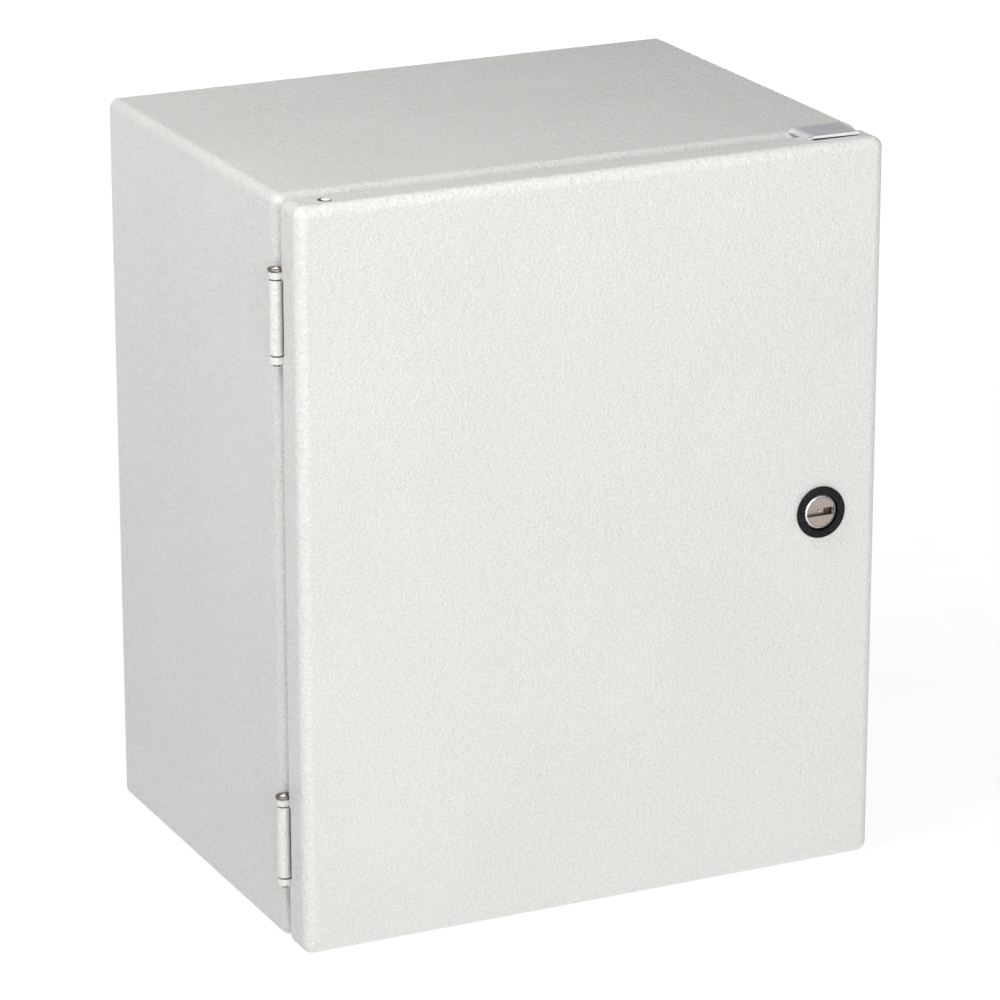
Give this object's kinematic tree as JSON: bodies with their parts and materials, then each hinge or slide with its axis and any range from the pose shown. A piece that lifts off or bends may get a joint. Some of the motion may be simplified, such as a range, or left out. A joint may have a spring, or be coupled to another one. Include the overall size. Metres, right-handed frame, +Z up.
{
  "type": "disconnect box",
  "caption": "Wall-mounted sheet-steel disconnect box with a hinged door, quarter-turn slotted lock, mounting plate and a rotary switch inside.",
  "frame": {"origin": "middle of the underside of the whole object's box: the cabinet stands on z = 0", "axes": "+X to the lock side, +Y towards the wall (the door faces -Y), +Z up"},
  "size_m": [0.254, 0.1914, 0.3016],
  "materials": {
    "textured_enamel": "light-grey powder coat with a fine orange-peel texture, satin",
    "pin_steel": "plain turned steel, slightly dull",
    "black_plastic": "moulded, matt",
    "lock_bezel": "moulded black plastic, satin",
    "satin_nickel": "satin nickel plated die casting",
    "clear_plastic": "clear, slightly frosted",
    "foam_rubber": "closed-cell foam, matt",
    "light_plastic": "moulded, fine matt grain",
    "grey_plastic": "moulded, fine matt grain",
    "knob_plastic": "moulded red plastic, satin",
    "galvanised_sheet": "galvanised sheet, dull spangle",
    "zinc_plate": "bright zinc plate",
    "brass": "machined brass"
  },
  "bodies": {
    "enclosure": {"clear_clip": "clear_plastic", "din_rail": "galvanised_sheet", "din_rail_screw_1": "zinc_plate", "din_rail_screw_2": "zinc_plate", "earth_bar": "brass", "earth_bar_screw_1": "zinc_plate", "earth_bar_screw_2": "zinc_plate", "enclosure_body": "textured_enamel", "gland_blank_1": "light_plastic", "gland_blank_2": "light_plastic", "gland_gasket": "foam_rubber", "gland_locknut_1": "light_plastic", "gland_locknut_2": "light_plastic", "gland_nut_1": "zinc_plate", "gland_nut_2": "zinc_plate", "gland_nut_3": "zinc_plate", "gland_nut_4": "zinc_plate", "gland_plate": "galvanised_sheet", "line_screw_1": "zinc_plate", "line_screw_2": "zinc_plate", "line_screw_3": "zinc_plate", "line_terminal_1": "brass", "line_terminal_2": "brass", "line_terminal_3": "brass", "load_screw_1": "zinc_plate", "load_screw_2": "zinc_plate", "load_screw_3": "zinc_plate", "load_terminal_1": "brass", "load_terminal_2": "brass", "load_terminal_3": "brass", "lower_hinge_body_leaf": "textured_enamel", "lower_hinge_pin": "pin_steel", "mounting_nut_1": "zinc_plate", "mounting_nut_2": "zinc_plate", "mounting_nut_3": "zinc_plate", "mounting_nut_4": "zinc_plate", "mounting_plate": "galvanised_sheet", "switch_base": "grey_plastic", "switch_cover": "light_plastic", "upper_hinge_body_leaf": "textured_enamel", "upper_hinge_pin": "pin_steel", "wall_plug_1": "black_plastic", "wall_plug_2": "black_plastic", "wall_plug_3": "black_plastic", "wall_plug_4": "black_plastic"},
    "door": {"door_panel": "textured_enamel", "door_gasket": "foam_rubber", "upper_hinge_door_leaf": "textured_enamel", "lower_hinge_door_leaf": "textured_enamel", "lock_housing": "lock_bezel", "lock_nut": "zinc_plate", "lock_seal": "foam_rubber"},
    "lock": {"lock_barrel": "satin_nickel", "lock_cam": "zinc_plate", "cam_screw": "zinc_plate"},
    "switch_handle": {"switch_knob": "knob_plastic", "switch_rotor": "black_plastic"},
    "rail_latch": {"din_latch": "light_plastic"}
  },
  "joints": [
    {"name": "door_hinge", "type": "hinge", "parent": "enclosure", "child": "door", "pos_m": [-0.12395, -0.0761, 0.15], "axis": [0, 0, -1], "range_deg": [0, 180]},
    {"name": "lock_turn", "type": "hinge", "parent": "door", "child": "lock", "pos_m": [0.10105, -0.0943, 0.15], "axis": [0, 1, 0], "range_deg": [0, 90]},
    {"name": "switch_turn", "type": "hinge", "parent": "enclosure", "child": "switch_handle", "pos_m": [0.00205, 0.0279, 0.165], "axis": [0, 1, 0], "range_deg": [0, 90]},
    {"name": "latch_slide", "type": "slide", "parent": "enclosure", "child": "rail_latch", "axis": [0, 0, -1], "range_m": [0, 0.0036]}
  ]
}
